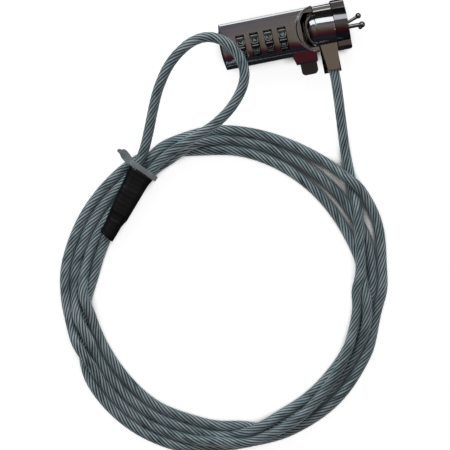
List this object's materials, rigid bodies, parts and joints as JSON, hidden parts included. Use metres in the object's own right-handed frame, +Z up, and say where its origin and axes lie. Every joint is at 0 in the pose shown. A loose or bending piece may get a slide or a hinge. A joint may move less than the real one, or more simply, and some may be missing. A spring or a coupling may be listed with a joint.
{
  "type": "laptop cable lock",
  "caption": "Combination lock with number rings, a spreading claw and a thumb trigger on a swivel lug, with a coiled sheathed steel cable that ends in an eye loop.",
  "frame": {"origin": "on the surface under the lock, midway along and across the lock without its cable", "axes": "+X along the lock's axis towards the claw, +Z up, away from the surface that the lock lies on"},
  "size_m": [0.162, 0.1932, 0.0252],
  "materials": {
    "chrome_body": "polished dark chrome",
    "chrome_lug": "polished dark chrome",
    "steel": "bright steel",
    "brass": "machined",
    "dial": "black with white marks",
    "trigger": "black satin",
    "cable": "clear vinyl over laid steel wires",
    "sleeve": "heat-shrunk tube",
    "tie": "translucent grey"
  },
  "bodies": {
    "cable": {"swivel_collar": "chrome_body", "lug_plate": "chrome_lug", "cable_ferrule": "steel", "cable_tail": "cable", "cable_coil": "cable", "cable_loop": "cable", "loop_sleeve": "sleeve", "loop_ferrule": "steel", "cable_tie": "tie"},
    "head": {"housing": "chrome_body", "end_cap": "chrome_body", "cap_screws": "steel", "detent_leaf": "steel", "spindle_spring": "steel", "barrel": "chrome_body", "barrel_pins": "steel", "end_plate": "chrome_body", "face_screws": "steel", "trigger_spring": "steel", "stop_pin": "steel", "claw_fixed": "steel", "claw_pin": "steel"},
    "number_ring_1": {"dial_1": "dial", "clutch_1": "brass"},
    "number_ring_2": {"dial_2": "dial", "clutch_2": "brass"},
    "number_ring_3": {"dial_3": "dial", "clutch_3": "brass"},
    "number_ring_4": {"dial_4": "dial", "clutch_4": "brass"},
    "spindle": {"spindle": "steel"},
    "trigger": {"trigger": "trigger"},
    "moving_claw": {"claw_moving": "steel"},
    "reset": {"reset_screw": "steel"}
  },
  "joints": [
    {"name": "swivel", "type": "hinge", "parent": "cable", "child": "head", "pos_m": [0.015, 0.0046, 0.009], "axis": [1, 0, 0], "continuous": true},
    {"name": "dial_1_spin", "type": "hinge", "parent": "head", "child": "number_ring_1", "pos_m": [-0.0236, 0.0046, 0.009], "axis": [1, 0, 0], "continuous": true},
    {"name": "dial_2_spin", "type": "hinge", "parent": "head", "child": "number_ring_2", "pos_m": [-0.0173, 0.0046, 0.009], "axis": [1, 0, 0], "continuous": true},
    {"name": "dial_3_spin", "type": "hinge", "parent": "head", "child": "number_ring_3", "pos_m": [-0.011, 0.0046, 0.009], "axis": [1, 0, 0], "continuous": true},
    {"name": "dial_4_spin", "type": "hinge", "parent": "head", "child": "number_ring_4", "pos_m": [-0.0047, 0.0046, 0.009], "axis": [1, 0, 0], "continuous": true},
    {"name": "trigger_slide", "type": "slide", "parent": "head", "child": "trigger", "axis": [0, 1, 0], "range_m": [0, 0.003], "stiffness_N_per_m": 300, "springref_m": -0.004, "deforming": ["trigger_spring"]},
    {"name": "spindle_slide", "type": "slide", "parent": "head", "child": "spindle", "axis": [-1, 0, 0], "range_m": [0, 0.0024], "deforming": ["spindle_spring"]},
    {"name": "claw_pivot", "type": "hinge", "parent": "head", "child": "moving_claw", "pos_m": [0.0236, 0.0052, 0.009], "axis": [0, 0, 1], "range_deg": [-11, 0]},
    {"name": "reset_turn", "type": "hinge", "parent": "head", "child": "reset", "pos_m": [-0.032, 0.01, 0.008], "axis": [1, 0, 0], "range_deg": [0, 90]}
  ],
  "couplings": [
    {"joint": "spindle_slide", "follows": "trigger_slide", "ratio": 0.8},
    {"joint": "claw_pivot", "follows": "trigger_slide", "rad_per_m": -63.995}
  ]
}
